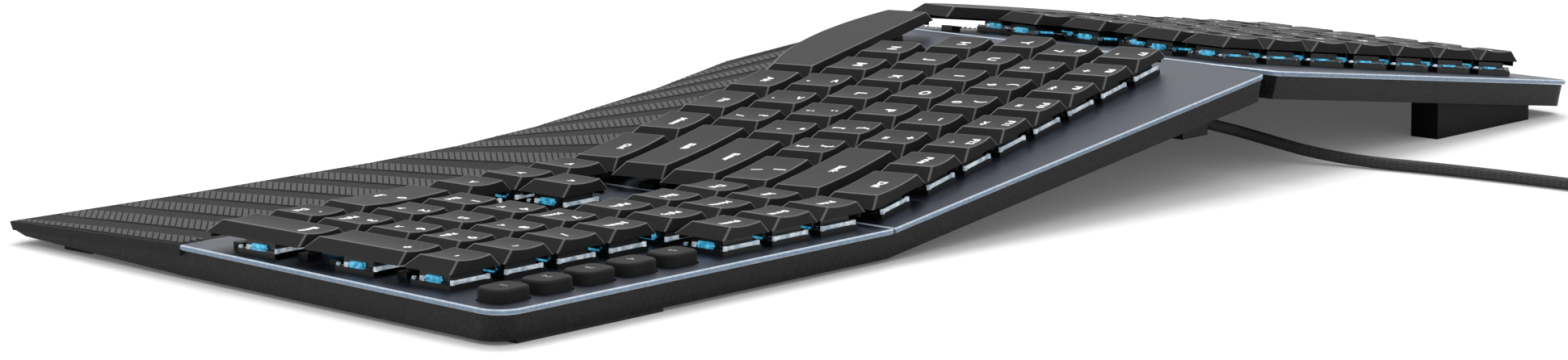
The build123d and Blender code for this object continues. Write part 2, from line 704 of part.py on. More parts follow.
def corner_radii(points):
    """Largest arcs that the runs beside each corner allow."""
    found = []
    for before, here, after in zip(points, points[1:], points[2:]):
        turn = math.radians((here - before).get_angle(after - here))
        found.append(0.45 * min((here - before).length, (after - here).length) / math.tan(turn / 2))
    return found


# Gland: a block under the ridge with a tapered sleeve that the cord comes out of
with BuildPart() as cable_gland:
    with BuildSketch(Plane.XZ.offset(-GLAND_AT[1] - GLAND_BLOCK[1] / 2)):
        with BuildLine():
            x0, x1 = GLAND_AT[0] - GLAND_BLOCK[0] / 4, GLAND_AT[0] + 3 * GLAND_BLOCK[0] / 4
            Polyline((x0, GLAND_BLOCK[2]), (x1, GLAND_BLOCK[2]), (x1, plate_z(x1) - CASE_DEPTH),
                     (RIDGE_X, RIDGE_Z - CASE_DEPTH), (x0, plate_z(x0) - CASE_DEPTH), close=True)
        make_face()
    extrude(amount=GLAND_BLOCK[1])
    sleeve_plane = Plane(origin=GLAND_AT, z_dir=GLAND_AIM)
    with BuildSketch(sleeve_plane):
        Circle(SLEEVE[1])
    with BuildSketch(sleeve_plane.offset(SLEEVE[0])):
        Circle(SLEEVE[2])
    loft()
write(cable_gland.part, "cable_gland")

lead_start = reach_from(GLAND_AT, GLAND_AIM, SLEEVE[0])
lead_points = [lead_start, reach_from(lead_start, GLAND_AIM, LEAD_FIRST)] + [Vector(*p) for p in LEAD]
lead_radii = corner_radii(lead_points)
print("lead radii", [round(r, 1) for r in lead_radii], "runs",
      [round((b - a).length, 1) for a, b in zip(lead_points, lead_points[1:])])
with BuildLine() as lead_line:
    FilletPolyline(*lead_points, radius=lead_radii)
cord_lead = tube(Wire(lead_line.edges()), lead_start, GLAND_AIM)
write(cord_lead, "cord_lead")


def rising_half(x0, x1, z0, z1, share, shape):
    """Corners of a half turn over y > 0 that changes height.

    share is how far up its two middle corners lie; shape gives the corners as parts of its radius.
    """
    w, mid = abs(x0 - x1) / 2, (x0 + x1) / 2
    first_y, middle_x, middle_y = shape
    points = [(w, 0, 0), (w, first_y * w, 0), (middle_x * w, middle_y * w, share[0]),
              (-middle_x * w, middle_y * w, share[1]), (-w, first_y * w, 1), (-w, 0, 1)]
    side = 1 if x0 > x1 else -1
    return [Vector(mid + side * x, y, z0 + (z1 - z0) * f) for x, y, f in points]


def snug_radii(points):
    """Arcs that nearly use up the runs of a tight half turn."""
    runs = [(b - a).length for a, b in zip(points, points[1:])]
    free = [runs[0]] + [r / 2 for r in runs[1:-1]] + [runs[-1]]
    found = []
    for i, (before, here, after) in enumerate(zip(points, points[1:], points[2:])):
        turn = math.radians((here - before).get_angle(after - here))
        found.append(0.95 * min(free[i], free[i + 1]) / math.tan(turn / 2))
    return found


# Coil, about its own middle: spirals in on the desk, climbs, spirals out and swings out to the plug
layer_1, layer_2 = CORD_REST, CORD_REST + LAYER_RISE
inner_r = COIL_R - HALF_TURNS * TURN_PITCH / 2
outer_r = inner_r + (HALF_TURNS - 1) * TURN_PITCH / 2
climb = rising_half(inner_r, -inner_r, layer_1, layer_2, (1 / 3, 2 / 3), (0.25, 0.42, 0.88))
swing = rising_half(outer_r, -outer_r - PLUG_OUT, layer_2, PLUG_Z, (0, 1 / 2), (OCTAGON, OCTAGON, 1))


def spiral(start, grow, count, z):
    """Half turns that alternate over y > 0 and y < 0, each a little larger or smaller."""
    with BuildLine() as line:
        x = start
        for i in range(count):
            end = -math.copysign(abs(x) + grow, x)
            side = math.copysign(1, x)
            ThreePointArc((x, 0, z), ((x + end) / 2, side * (abs(x) + abs(end)) / 2, z), (end, 0, z))
            x = end
    return line.line


with BuildLine() as coil_line:
    Line((COIL_R, -CORD_D, layer_1), (COIL_R, 0, layer_1))
    add(spiral(COIL_R, -TURN_PITCH / 2, HALF_TURNS, layer_1))
    FilletPolyline(*climb, radius=snug_radii(climb))
    add(spiral(-inner_r, TURN_PITCH / 2, HALF_TURNS - 1, layer_2))
    FilletPolyline(*swing, radius=corner_radii(swing))
    Line(swing[-1], swing[-1] - Vector(0, CORD_D, 0))
coil_wire = Wire(coil_line.edges())
samples = [coil_wire.position_at(i / 900) for i in range(901)]
skip = 16
nearest = min((a - b).length for i, a in enumerate(samples) for b in samples[i + skip:])
print("coil length", round(coil_wire.length, 1), "least gap to itself", round(nearest - CORD_D, 2))

coil_place = Location((LEAD[-1][0] - COIL_R, LEAD[-1][1] + CORD_D, 0))
with BuildPart() as cord_coil:
    with Locations(coil_place):
        add(tube(coil_wire, (COIL_R, -CORD_D, layer_1), (0, 1, 0)))
write(cord_coil.part, "cord_coil")

# Plug: a moulded grip with a tapered neck, and a metal shell round its tongue
plug_at = coil_place * Location(swing[-1] - Vector(0, CORD_D, 0)) * Location((0, 0, 0), (90, 0, 0))
plug_plane = Plane(plug_at)
with BuildPart() as usb_plug_grip:
    with BuildSketch(plug_plane):
        Circle(NECK[2])
    with BuildSketch(plug_plane.offset(NECK[0])):
        Circle(NECK[1])
    loft()
    with BuildSketch(plug_plane.offset(NECK[0])):
        RectangleRounded(GRIP[0], GRIP[2], 2.0)
    extrude(amount=GRIP[1])
    with BuildSketch(plug_plane.offset(NECK[0] + GRIP[1])):
        with Locations((0, SHELL[2] / 2 - SHELL_WALL - TONGUE / 2 - TONGUE_GAP)):
            Rectangle(SHELL[0] - 2 * SHELL_WALL - 4 * TONGUE_GAP, TONGUE)
    extrude(amount=SHELL[1] - SHELL_WALL)
write(usb_plug_grip.part, "usb_plug_grip")
with BuildPart() as usb_plug_shell:
    with BuildSketch(plug_plane.offset(NECK[0] + GRIP[1])):
        RectangleRounded(SHELL[0], SHELL[2], 0.6)
        RectangleRounded(SHELL[0] - 2 * SHELL_WALL, SHELL[2] - 2 * SHELL_WALL, 0.3, mode=Mode.SUBTRACT)
    extrude(amount=SHELL[1])
write(usb_plug_shell.part, "usb_plug_shell")

keyboard = Compound([bottom_case.part, palm_rest_pad.part])
low, high = keyboard.bounding_box().min, keyboard.bounding_box().max
print("case and pad", [round(v, 2) for v in (*low, *high)])
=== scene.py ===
"""Looks of the tented ergonomic keyboard: keycaps, legends, clear switch lids, ribbed palm pad, case and cord."""

import math

import bmesh
import bpy
from mathutils import Matrix, Vector


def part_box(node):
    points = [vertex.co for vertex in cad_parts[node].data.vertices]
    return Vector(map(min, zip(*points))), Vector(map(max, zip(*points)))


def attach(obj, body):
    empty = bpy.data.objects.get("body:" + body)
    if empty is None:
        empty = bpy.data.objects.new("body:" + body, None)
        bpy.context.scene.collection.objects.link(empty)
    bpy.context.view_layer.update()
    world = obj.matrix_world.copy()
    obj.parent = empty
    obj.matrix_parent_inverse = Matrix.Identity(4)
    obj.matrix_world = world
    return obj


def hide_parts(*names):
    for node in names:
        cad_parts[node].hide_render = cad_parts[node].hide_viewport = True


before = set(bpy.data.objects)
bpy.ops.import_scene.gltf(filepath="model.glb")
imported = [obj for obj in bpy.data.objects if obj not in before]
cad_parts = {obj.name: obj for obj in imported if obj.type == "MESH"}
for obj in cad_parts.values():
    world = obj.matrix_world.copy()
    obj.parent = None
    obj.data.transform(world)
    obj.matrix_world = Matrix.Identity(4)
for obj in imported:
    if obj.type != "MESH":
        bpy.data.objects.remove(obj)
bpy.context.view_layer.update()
MM = 0.001
BASE = "keyboard_base"

# The three sections of keys, as in the CAD: a tilt about Y and a turn about the section's normal
TENT, SPLAY = math.radians(7.8166), math.radians(8.2046)
SINT, COST = math.sin(TENT), math.cos(TENT)
SINS, COSS = math.sin(SPLAY), math.cos(SPLAY)
FOLD_X, RIDGE_X, PAD_PLATE_Z = 97.3, -71.6, 9.6
RIDGE_Z = PAD_PLATE_Z + (FOLD_X - RIDGE_X) * math.tan(TENT)


def plate_z(x):
    """Height of the plates over a point of the desk, in mm."""
    if x >= FOLD_X:
        return PAD_PLATE_Z
    if x >= RIDGE_X:
        return PAD_PLATE_Z + (FOLD_X - x) * math.tan(TENT)
    return RIDGE_Z - (RIDGE_X - x) * math.tan(TENT)


def section(origin, x_dir, normal):
    """Matrix from a section's own axes to the desk, both in metres."""
    x, z = Vector(x_dir), Vector(normal)
    m = Matrix((x, z.cross(x), z)).transposed().to_4x4()
    m.translation = Vector(origin) * MM
    return m


PAD = section((237.0, 7.45, plate_z(237.0)), (1, 0, 0), (0, 0, 1))
RIGHT = section((54.3, 19.6, plate_z(54.3)), (COSS * COST, SINS, -COSS * SINT), (SINT, 0, COST))
LEFT = section((-85.5, 80.9, plate_z(-85.5)), (COSS * COST, -SINS, COSS * SINT), (-SINT, 0, COST))


def rgb(code):
    """Linear colour from an sRGB hex code."""
    parts = [int(code[i:i + 2], 16) / 255 for i in (1, 3, 5)]
    return tuple(c / 12.92 if c < 0.04045 else ((c + 0.055) / 1.055) ** 2.4 for c in parts) + (1.0,)


def material(name):
    m = bpy.data.materials.new(name)
    m.use_nodes = True
    return m, m.node_tree, m.node_tree.nodes["Principled BSDF"]


def node(tree, kind, links=(), inputs=(), **settings):
    """One shader node with its settings, its unlinked inputs and its incoming links."""
    made = tree.nodes.new("ShaderNode" + kind)
    for key, value in settings.items():
        setattr(made, key, value)
    for key, value in inputs:
        made.inputs[key].default_value = value
    for key, socket in links:
        tree.links.new(socket, made.inputs[key])
    return made


def ramp(tree, source, stops):
    made = node(tree, "ValToRGB", [("Fac", source)])
    for i, (at, colour) in enumerate(stops):
        point = made.color_ramp.elements[i] if i < 2 else made.color_ramp.elements.new(at)
        point.position, point.color = at, colour
    return made.outputs["Color"]


BUMP_MM, ROUGH_SHIFT, PATCHES_PER_M = 0.05, 0.05, 14.0


def grained(name, colours, roughness, grain_mm, bump, spread=(0.35, 0.65), **extra):
    """Moulded or sprayed surface: two close tones mixed by a fine grain that is also felt as bump.

    The real grain is 0.05 to 0.1 mm, too fine to show, so it is drawn a few times as coarse.
    """
    m, tree, shader = material(name)
    where = node(tree, "TexCoord").outputs["Object"]
    fine = node(tree, "TexNoise", [("Vector", where)], [("Scale", 1000 / grain_mm), ("Detail", 3.0)])
    wide = node(tree, "TexNoise", [("Vector", where)], [("Scale", PATCHES_PER_M), ("Detail", 2.0)])
    tone = ramp(tree, fine.outputs["Fac"], [(spread[0], rgb(colours[0])), (spread[1], rgb(colours[1]))])
    tree.links.new(tone, shader.inputs["Base Color"])
    rough = node(tree, "MapRange", [("Value", wide.outputs["Fac"])],
                 [("To Min", roughness - ROUGH_SHIFT), ("To Max", roughness + ROUGH_SHIFT)])
    tree.links.new(rough.outputs["Result"], shader.inputs["Roughness"])
    if bump:
        felt = node(tree, "Bump", [("Height", fine.outputs["Fac"])],
                    [("Strength", bump), ("Distance", BUMP_MM * MM)])
        tree.links.new(felt.outputs["Normal"], shader.inputs["Normal"])
    for key, value in extra.items():
        shader.inputs[key.replace("_", " ")].default_value = value
    return m


# Satin ABS caps: a fine spark-eroded grain keeps the charcoal tops from looking like glass
CAP_PLASTIC = grained("Moulded ABS keycap plastic, fine texture", ("#262626", "#2f2f2f"), 0.45, 0.22, 0.12,
                      Specular_IOR_Level=0.06)
# The same plastic, painted paler on the rounded rims and corners as a painted highlight: a faint line round each
# top, pale lines down the corners; the lower roughness there is the mould's polish
CAP_RIM_PAINTED_HIGHLIGHT = grained("Moulded ABS keycap plastic, rims with painted highlight", ("#464646", "#525252"), 0.25, 0.3, 0.0)
CAP_CORNER_PAINTED_HIGHLIGHT = grained("Moulded ABS keycap plastic, corners with painted highlight", ("#565656", "#646464"), 0.22, 0.3, 0.0)
# Fine-textured polycarbonate: paler flecks in near black, with a soft sheen along rounded edges
CASE_PLASTIC = grained("Moulded PC-ABS case plastic, spark-eroded", ("#090808", "#1d1b1b"), 0.5, 0.8, 0.8,
                       (0.4, 0.62), Specular_IOR_Level=0.22)
# Soft rubber, dull: the ribs are paler than the strips, and a near-black sheet under them is painted shade for
# the grooves between them
PAD_RIB = grained("Moulded TPE rubber, raised ribs", ("#505050", "#606060"), 0.7, 0.3, 0.15,
                  Specular_IOR_Level=0.04)
PAD_STRIP = grained("Moulded TPE rubber, smooth strips", ("#2c2c2c", "#363636"), 0.7, 0.5, 0.2,
                    Specular_IOR_Level=0.04)
PAD_GROOVE_SHADE = grained("Moulded TPE rubber, painted shade under the ribs", ("#121212", "#1c1c1c"), 0.8, 0.5, 0.2,
                     Specular_IOR_Level=0.1)
# Silicone buttons: almost no shine, so the crowned edges fade softly
BUTTON_RUBBER = grained("Moulded silicone rubber button", ("#171718", "#1f1f20"), 0.75, 0.35, 0.2,
                        Specular_IOR_Level=0.25)
# Cut rubber: the dullest black of all, so the feet read as a gap under the case
FOOT_RUBBER = grained("Cut EPDM foot rubber", ("#0f0f0f", "#191919"), 0.8, 0.6, 0.3)
# Soft moulded PVC: a satin sleeve, a little shinier than the braid it holds
GLAND_RUBBER = grained("Moulded PVC strain relief", ("#141414", "#1d1d1d"), 0.6, 0.5, 0.2)
# Textured leg: near black with a faint grain, so its faces part only by their light
LEG_PLASTIC = grained("Moulded ABS leg plastic", ("#0b0b0b", "#151515"), 0.5, 0.5, 0.3,
                      Specular_IOR_Level=0.1)
# Slippery acetal clips: smooth, with a small dark sheen
CLIP_PLASTIC = grained("Moulded POM clip plastic", ("#0d0d0d", "#151515"), 0.35, 0.5, 0.1)
# Nylon housings: dark and half matt, so the lights beside them stand out
BASE_PLASTIC = grained("Moulded nylon switch housing", ("#0a0a0b", "#131314"), 0.4, 0.4, 0.15)
# Overmoulded grip: a soft grey-black that shows its rounded edges
PLUG_PLASTIC = grained("Overmoulded PVC plug grip", ("#171717", "#212121"), 0.5, 0.4, 0.3)
# Solder mask over glass weave: deep green with a slight shine where a gap shows it
BOARD = grained("Solder-masked fibreglass board", ("#0b1a14", "#10241b"), 0.3, 1.2, 0.1)


def toned(name, per_metre, detail, tones, glow=0.0, **values):
    """Smooth surface whose colour wanders between two tones. per_metre counts the noise's features."""
    m, tree, shader = material(name)
    where = node(tree, "TexCoord").outputs["Object"]
    noise = node(tree, "TexNoise", [("Vector", where)], [("Scale", per_metre), ("Detail", detail)])
    tone = ramp(tree, noise.outputs["Fac"], [(at, rgb(code)) for at, code in tones])
    tree.links.new(tone, shader.inputs["Base Color"])
    if glow:
        tree.links.new(tone, shader.inputs["Emission Color"])
        shader.inputs["Emission Strength"].default_value = glow
    for key, value in values.items():
        shader.inputs[key.replace("_", " ")].default_value = value
    return m


STREAKS_PER_M = (40.0, 1400.0, 400.0)


def anodised():
    """Brushed aluminium plate, dyed blue-black: long fine streaks that give it a satin pull along x."""
    m, tree, shader = material("Anodised aluminium sheet, brushed and dyed blue-black")
    where = node(tree, "TexCoord").outputs["Object"]
    along = node(tree, "Mapping", [("Vector", where)], [("Scale", STREAKS_PER_M)])
    streak = node(tree, "TexNoise", [("Vector", along.outputs["Vector"])], [("Detail", 4.0)])
    tone = ramp(tree, streak.outputs["Fac"], [(0.3, rgb("#272b38")), (0.7, rgb("#353b4a"))])
    tree.links.new(tone, shader.inputs["Base Color"])
    felt = node(tree, "Bump", [("Height", streak.outputs["Fac"])], [("Strength", 0.08), ("Distance", 0.02 * MM)])
    tree.links.new(felt.outputs["Normal"], shader.inputs["Normal"])
    shader.inputs["Metallic"].default_value = 0.75
    shader.inputs["Roughness"].default_value = 0.42
    return m


def braid():
    """Braided sleeve: two crossing sets of fine strands, dark thread in black."""
    m, tree, shader = material("Braided nylon cord sleeve")
    where = node(tree, "TexCoord").outputs["UV"]
    turned = [node(tree, "Mapping", [("Vector", where)], [("Scale", (900.0, s, 1.0))]) for s in (8.0, -8.0)]
    waves = [node(tree, "TexWave", [("Vector", t.outputs["Vector"])],
                  [("Scale", 1.0)], bands_direction="DIAGONAL") for t in turned]
    both = node(tree, "Math", [(0, waves[0].outputs["Fac"]), (1, waves[1].outputs["Fac"])], operation="MAXIMUM")
    tone = ramp(tree, both.outputs["Value"], [(0.2, rgb("#0e0e0e")), (0.9, rgb("#343434"))])
    tree.links.new(tone, shader.inputs["Base Color"])
    felt = node(tree, "Bump", [("Height", both.outputs["Value"])], [("Strength", 0.6), ("Distance", 0.2 * MM)])
    tree.links.new(felt.outputs["Normal"], shader.inputs["Normal"])
    shader.inputs["Roughness"].default_value = 0.65
    return m


PLATE = anodised()
# Chamfers and sides of the plates, painted pale blue-grey as painted highlights for the lit lines along their
# edges, the chamfers paler than the sides
EDGE_PAINTED_HIGHLIGHT = toned("Milled aluminium chamfer, painted highlight", 900.0, 2.0, ((0.3, "#b4c6d6"), (0.7, "#d2e0ec")),
             Metallic=0.6, Roughness=0.35)
SHEET_SIDE_PAINTED_HIGHLIGHT = toned("Sawn aluminium sheet side, painted highlight", 900.0, 2.0, ((0.3, "#6c7f94"), (0.7, "#8496aa")),
                   Metallic=0.6, Roughness=0.35)
# Clear moulded plastic with faint flow marks: the white ground and the lights show through the lids
LID_CLEAR = toned("Injection-moulded clear polycarbonate lid", 500.0, 2.0, ((0.35, "#cfe0ea"), (0.65, "#f2f8fc")),
                  Roughness=0.06, Transmission_Weight=1.0, IOR=1.49)
# Milkier bars at the rear of the lids, with a painted glow that keeps them pale above the dark plate
BAR_PAINTED_GLOW = toned("Polished clear acrylic light bar, painted glow", 500.0, 2.0, ((0.35, "#9fb3c1"), (0.65, "#f0f6fa")), 0.3,
                  Roughness=0.12, Transmission_Weight=0.15, IOR=1.49)
# Lit lens: ice blue resin, deeper in places where it is thick
LED = toned("Cast epoxy LED lens, lit ice blue", 700.0, 2.0, ((0.32, "#0a6f9e"), (0.68, "#62cdee")), 0.7,
            Roughness=0.25)
# Legends: dull, a little uneven where the laser foamed the plastic; grey and fainter on the buttons
LEGEND = toned("Laser-whitened legend", 3000.0, 2.0, ((0.3, "#e6e6e6"), (0.7, "#ffffff")), Roughness=0.7)
FAINT = toned("Pad-printed grey legend", 3000.0, 2.0, ((0.3, "#8a8a8a"), (0.7, "#9c9c9c")), Roughness=0.7)
# Plated metal: bright, with cloudy grey where the zinc is thinner
STEEL = toned("Zinc-plated steel, rolled", 800.0, 4.0, ((0.3, "#9a9c9f"), (0.7, "#c2c4c7")),
              Metallic=1.0, Roughness=0.28)
BRAID = braid()

CARRIED = {
    CASE_PLASTIC: ["bottom_case"],
    LEG_PLASTIC: ["rear_left_leg"],
    FOOT_RUBBER: ["rubber_feet"],
    GLAND_RUBBER: ["cable_gland"],
    PLUG_PLASTIC: ["usb_plug_grip"],
    STEEL: ["usb_plug_shell", "case_screws"],
    CLIP_PLASTIC: ["stabiliser_clips"],
    LED: ["led_lights"],
    BOARD: ["circuit_board_number_pad", "circuit_board_right", "circuit_board_left"],
    BASE_PLASTIC: ["switch_bases_number_pad", "switch_bases_right", "switch_bases_left"],
    LID_CLEAR: ["switch_lids_number_pad", "switch_lids_right", "switch_lids_left"],
}
for look, names in CARRIED.items():
    for name in names:
        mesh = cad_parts[name].data
        mesh.materials.clear()
        mesh.materials.append(look)

# Camera: behind and to the right of the keyboard, low, as in the photograph
camera = bpy.data.objects.new("camera", bpy.data.cameras.new("camera"))
bpy.context.scene.collection.objects.link(camera)
camera.matrix_world = Matrix((
    (-0.67584894, -0.13291689, 0.72495608, 1.05586),
    (0.73699133, -0.11054992, 0.66680019, 0.95161),
    (-0.00848517, 0.98494254, 0.17267364, 0.24674),
    (0, 0, 0, 1),
))
camera.data.sensor_width = 36.0
camera.data.lens = 110.3546
camera.data.clip_end = 20.0
bpy.context.scene.camera = camera


def made(name, bm, look, body, angle=35.0):
    """Mesh object from a bmesh, smooth but for edges sharper than an angle in degrees."""
    bmesh.ops.recalc_face_normals(bm, faces=bm.faces)
    for face in bm.faces:
        face.smooth = True
    mesh = bpy.data.meshes.new(name)
    bm.to_mesh(mesh)
    bm.free()
    mesh.set_sharp_from_angle(angle=math.radians(angle))
    for one in look if isinstance(look, (list, tuple)) else [look]:
        mesh.materials.append(one)
    piece = bpy.data.objects.new(name, mesh)
    bpy.context.scene.collection.objects.link(piece)
    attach(piece, body)
    return piece


def even_shade(piece):
    """Keeps broad flat faces flat-looking next to their rounded edges."""
    piece.modifiers.new("even shade", "WEIGHTED_NORMAL").keep_sharp = True


# Cord: the CAD route's points, then the coil's own turns, as one smooth curve
CORD_D, CORD_REST, LAYER_RISE = 3.6, 1.9, 4.4
CORD_AIM = Vector((-18.5, 2.9, -5.5)).normalized()
SLEEVE_END = Vector((-72.0, 76.9, 15.5)) + CORD_AIM * 10.0
COIL_R, TURN_PITCH, HALF_TURNS, PLUG_OUT, PLUG_Z = 32.2, 4.2, 10, 10.5, 4.0
COIL_AT = Vector((-114.0 - COIL_R, 228.0 + CORD_D, 0.0))
INNER_R = COIL_R - HALF_TURNS * TURN_PITCH / 2
OUTER_R = INNER_R + (HALF_TURNS - 1) * TURN_PITCH / 2
STEPS = 7   # points per half turn


def half_turns(radius, grow, count, side, z):
    """Points of half turns that each start on the x axis and grow or shrink evenly."""
    found = []
    for i in range(count):
        for k in range(STEPS):
            f = k / STEPS
            r = radius + grow * (i + f)
            turn = math.pi * (i + f)
            # a control point lies outside the smooth curve it makes
            wide = r / (1 - (math.pi / STEPS) ** 2 / 8)
            found.append(Vector((side * wide * math.cos(turn), side * wide * math.sin(turn), z)))
    return found


def cord_points():
    """Lead, spiral inwards, step up one layer, spiral outwards, then the way to the plug."""
    lead = [SLEEVE_END, SLEEVE_END + CORD_AIM * 8.0, SLEEVE_END + CORD_AIM * 16.0,
            Vector((-105.2, 108.0, CORD_REST)), Vector((-112.0, 148.0, CORD_REST)),
            Vector((-114.0, 190.0, CORD_REST))]
    top = CORD_REST + LAYER_RISE
    coil = half_turns(COIL_R, -TURN_PITCH / 2, HALF_TURNS, 1, CORD_REST)
    for k in range(STEPS):
        f = k / STEPS
        coil.append(Vector((INNER_R * math.cos(math.pi * f), INNER_R * math.sin(math.pi * f),
                            CORD_REST + LAYER_RISE * f)))
    coil += half_turns(INNER_R, TURN_PITCH / 2, HALF_TURNS - 1, -1, top)
    for k in range(STEPS):
        f = k / STEPS
        r = OUTER_R + PLUG_OUT * f / 2
        coil.append(Vector((r * math.cos(math.pi * f) - PLUG_OUT * f / 2, r * math.sin(math.pi * f),
                            top + (PLUG_Z - top) * f)))
    end = -OUTER_R - PLUG_OUT
    coil += [Vector((end, 0.0, PLUG_Z)), Vector((end, -CORD_D, PLUG_Z))]
    return lead + [COIL_AT + p for p in coil]


def cord():
    curve = bpy.data.curves.new("usb_cord", "CURVE")
    curve.dimensions = "3D"
    curve.bevel_depth = CORD_D / 2 * MM
    curve.bevel_resolution = 3
    curve.resolution_u = 6
    curve.use_fill_caps = True
    points = cord_points()
    spline = curve.splines.new("NURBS")
    spline.points.add(len(points) - 1)
    for point, at in zip(spline.points, points):
        point.co = (*(at * MM), 1.0)
    spline.order_u = 3
    spline.use_endpoint_u = True
    curve.materials.append(BRAID)
    piece = bpy.data.objects.new("usb_cord", curve)
    bpy.context.scene.collection.objects.link(piece)
    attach(piece, BASE)
    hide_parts("cord_lead", "cord_coil")


cord()

# Keycaps: hollow, tapered, dished from side to side, with softly rounded corners and rims
CAP_BOTTOM, CAP_TOP, CEILING, STEM, STEM_BOTTOM, CAP_WALL = 4.6, 8.0, 6.9, 4.0, 0.4, 1.1
SIDE_INSET, FRONT_INSET, REAR_INSET, DISH = 3.1, 3.6, 0.3, 0.5
CORNER_ROUND, RIM_ROUND, HOLLOW_WIDER, STEM_IN_CEILING = 0.42, 0.26, 0.2, 0.2
SKIRT_IN, SKIRT_T, SKIRT_BOTTOM, SKIRT_SHORT, SKIRT_UP = 0.4, 0.6, 3.1, 1.6, 0.3
SPACE_BULGE, KEY = 6.6, 18.0
CAP_CUTS, SPACE_CUTS = 8, 24   # slices along a cap, for its dish or its bowed front


def islands(mesh, to_local):
    """Boxes, in mm of a section, of a mesh's separate solids: (x0, x1, y0, y1, highest z)."""
    bm = bmesh.new()
    bm.from_mesh(mesh)
    bmesh.ops.remove_doubles(bm, verts=bm.verts, dist=1e-6)
    found, left = [], set(bm.verts)
    while left:
        front, solid = [left.pop()], []
        while front:
            v = front.pop()
            solid.append(v)
            for edge in v.link_edges:
                other = edge.other_vert(v)
                if other in left:
                    left.discard(other)
                    front.append(other)
        at = [(to_local @ v.co) / MM for v in solid]
        found.append((min(p.x for p in at), max(p.x for p in at), min(p.y for p in at),
                      max(p.y for p in at), max(p.z for p in at)))
    bm.free()
    return found


def block(bm, low, high):
    """Box between two corners, in mm."""
    low, high = Vector(low), Vector(high)
    place = Matrix.Translation((low + high) / 2) @ Matrix.Diagonal((*(high - low), 1.0))
    return bmesh.ops.create_cube(bm, size=1.0, matrix=place)["verts"]


def sliced(bm, count, at, normal):
    """Cuts a shape by planes: at(i) is a point of the one numbered i."""
    for i in range(1, count):
        bmesh.ops.bisect_plane(bm, geom=bm.verts[:] + bm.edges[:] + bm.faces[:], plane_co=at(i), plane_no=normal)


def rounded(bm, edges, radius, segments):
    """Rounds edges and gives the new faces."""
    return bmesh.ops.bevel(bm, geom=edges, offset=radius, affect="EDGES", segments=segments, profile=0.5,
                           material=-1)["faces"]


def cap(bm, box, bulge=0.0):
    """One hollow keycap with its stem, added in mm of its section. bulge bows its front edge out."""
    x0, x1, y0, y1 = box[:4]
    one = bmesh.new()
    front, rear = y0 + bulge, y1
    block(one, (x0, front, CAP_BOTTOM), (x1, rear, CAP_TOP))
    mid, half = (x0 + x1) / 2, (x1 - x0) / 2
    cuts = SPACE_CUTS if bulge else CAP_CUTS
    sliced(one, cuts, lambda i: (x0 + (x1 - x0) * i / cuts, 0, 0), (1, 0, 0))
    for v in one.verts:
        high = (v.co.z - CAP_BOTTOM) / (CAP_TOP - CAP_BOTTOM)
        across = (v.co.x - mid) / half
        v.co.x = mid + (v.co.x - mid) * (1 - SIDE_INSET * high / half)
        if v.co.y < (front + rear) / 2:
            v.co.y += FRONT_INSET * high - bulge * (1 - across ** 2)
        else:
            v.co.y -= REAR_INSET * high
        if high > 0.5 and not bulge:
            sink = DISH * (1 - across ** 2)
            v.co.z -= sink
            slope = (FRONT_INSET if v.co.y < (front + rear) / 2 else -REAR_INSET) / (CAP_TOP - CAP_BOTTOM)
            v.co.y -= sink * slope
    upright = [e for e in one.edges if len(e.link_faces) == 2 and abs(e.verts[0].co.z - e.verts[1].co.z) > 2
               and e.calc_face_angle() > 1.0]
    # Rounded corners take the paler corner material: a painted highlight down each corner
    for face in rounded(one, upright, CORNER_ROUND, 2):
        face.material_index = 2
    rim = [e for e in one.edges if len(e.link_faces) == 2
           and sorted(f.normal.z > 0.85 for f in e.link_faces) == [False, True]
           and min(v.co.z for v in e.verts) > CAP_BOTTOM + 1.5]
    # Rounded rims take the paler rim material: a painted highlight round each top
    for face in rounded(one, rim, RIM_ROUND, 3):
        face.material_index = 1
    # The underside is one face again, set in by the wall and pushed up, then narrowed as the cap is
    bmesh.ops.dissolve_faces(one, faces=[f for f in one.faces if f.normal.z < -0.9])
    floor = [f for f in one.faces if f.normal.z < -0.9]
    bmesh.ops.inset_region(one, faces=floor, thickness=CAP_WALL, use_even_offset=True)
    inside = bmesh.ops.extrude_face_region(one, geom=floor)["geom"]
    bmesh.ops.delete(one, geom=floor, context="FACES_ONLY")
    sunk = [v for v in inside if isinstance(v, bmesh.types.BMVert)]
    bmesh.ops.translate(one, verts=sunk, vec=(0, 0, CEILING - CAP_BOTTOM))
    rise = (CEILING - CAP_BOTTOM) / (CAP_TOP - CAP_BOTTOM)
    narrower = (half - CAP_WALL - SIDE_INSET * rise + HOLLOW_WIDER) / (half - CAP_WALL)
    shorter = 1 - (FRONT_INSET * rise - HOLLOW_WIDER) / (rear - front - 2 * CAP_WALL)
    bmesh.ops.scale(one, verts=sunk, vec=(narrower, shorter, 1.0),
                    space=Matrix.Translation((-mid, CAP_WALL - rear, 0)))
    middle_y = rear - KEY / 2 if bulge else (y0 + y1) / 2
    block(one, (mid - STEM / 2, middle_y - STEM / 2, STEM_BOTTOM),
          (mid + STEM / 2, middle_y + STEM / 2, CEILING + STEM_IN_CEILING))
    # Shallow inner skirts at the front and the left close the gap over the switch there
    skirt_x, skirt_y, skirt_top = x0 + SKIRT_IN, front + SKIRT_IN, CAP_BOTTOM + SKIRT_UP
    block(one, (skirt_x, skirt_y, SKIRT_BOTTOM), (x1 - SKIRT_SHORT, skirt_y + SKIRT_T, skirt_top))
    block(one, (skirt_x, skirt_y + SKIRT_T, SKIRT_BOTTOM), (skirt_x + SKIRT_T, rear - SKIRT_SHORT, skirt_top))
    mesh = bpy.data.meshes.new("one cap")
    one.to_mesh(mesh)
    one.free()
    bm.from_mesh(mesh)
    bpy.data.meshes.remove(mesh)


def glyphs(text, size, heavy):
    """A piece of text as a flat mesh, centred, in mm."""
    curve = bpy.data.curves.new("text", "FONT")
    curve.body = text
    curve.size = size
    curve.align_x = "CENTER"
    curve.align_y = "CENTER"
    curve.offset = heavy
    curve.resolution_u = 3
    holder = bpy.data.objects.new("text", curve)
    mesh = bpy.data.meshes.new_from_object(holder)
    bpy.data.objects.remove(holder)
    bpy.data.curves.remove(curve)
    return mesh


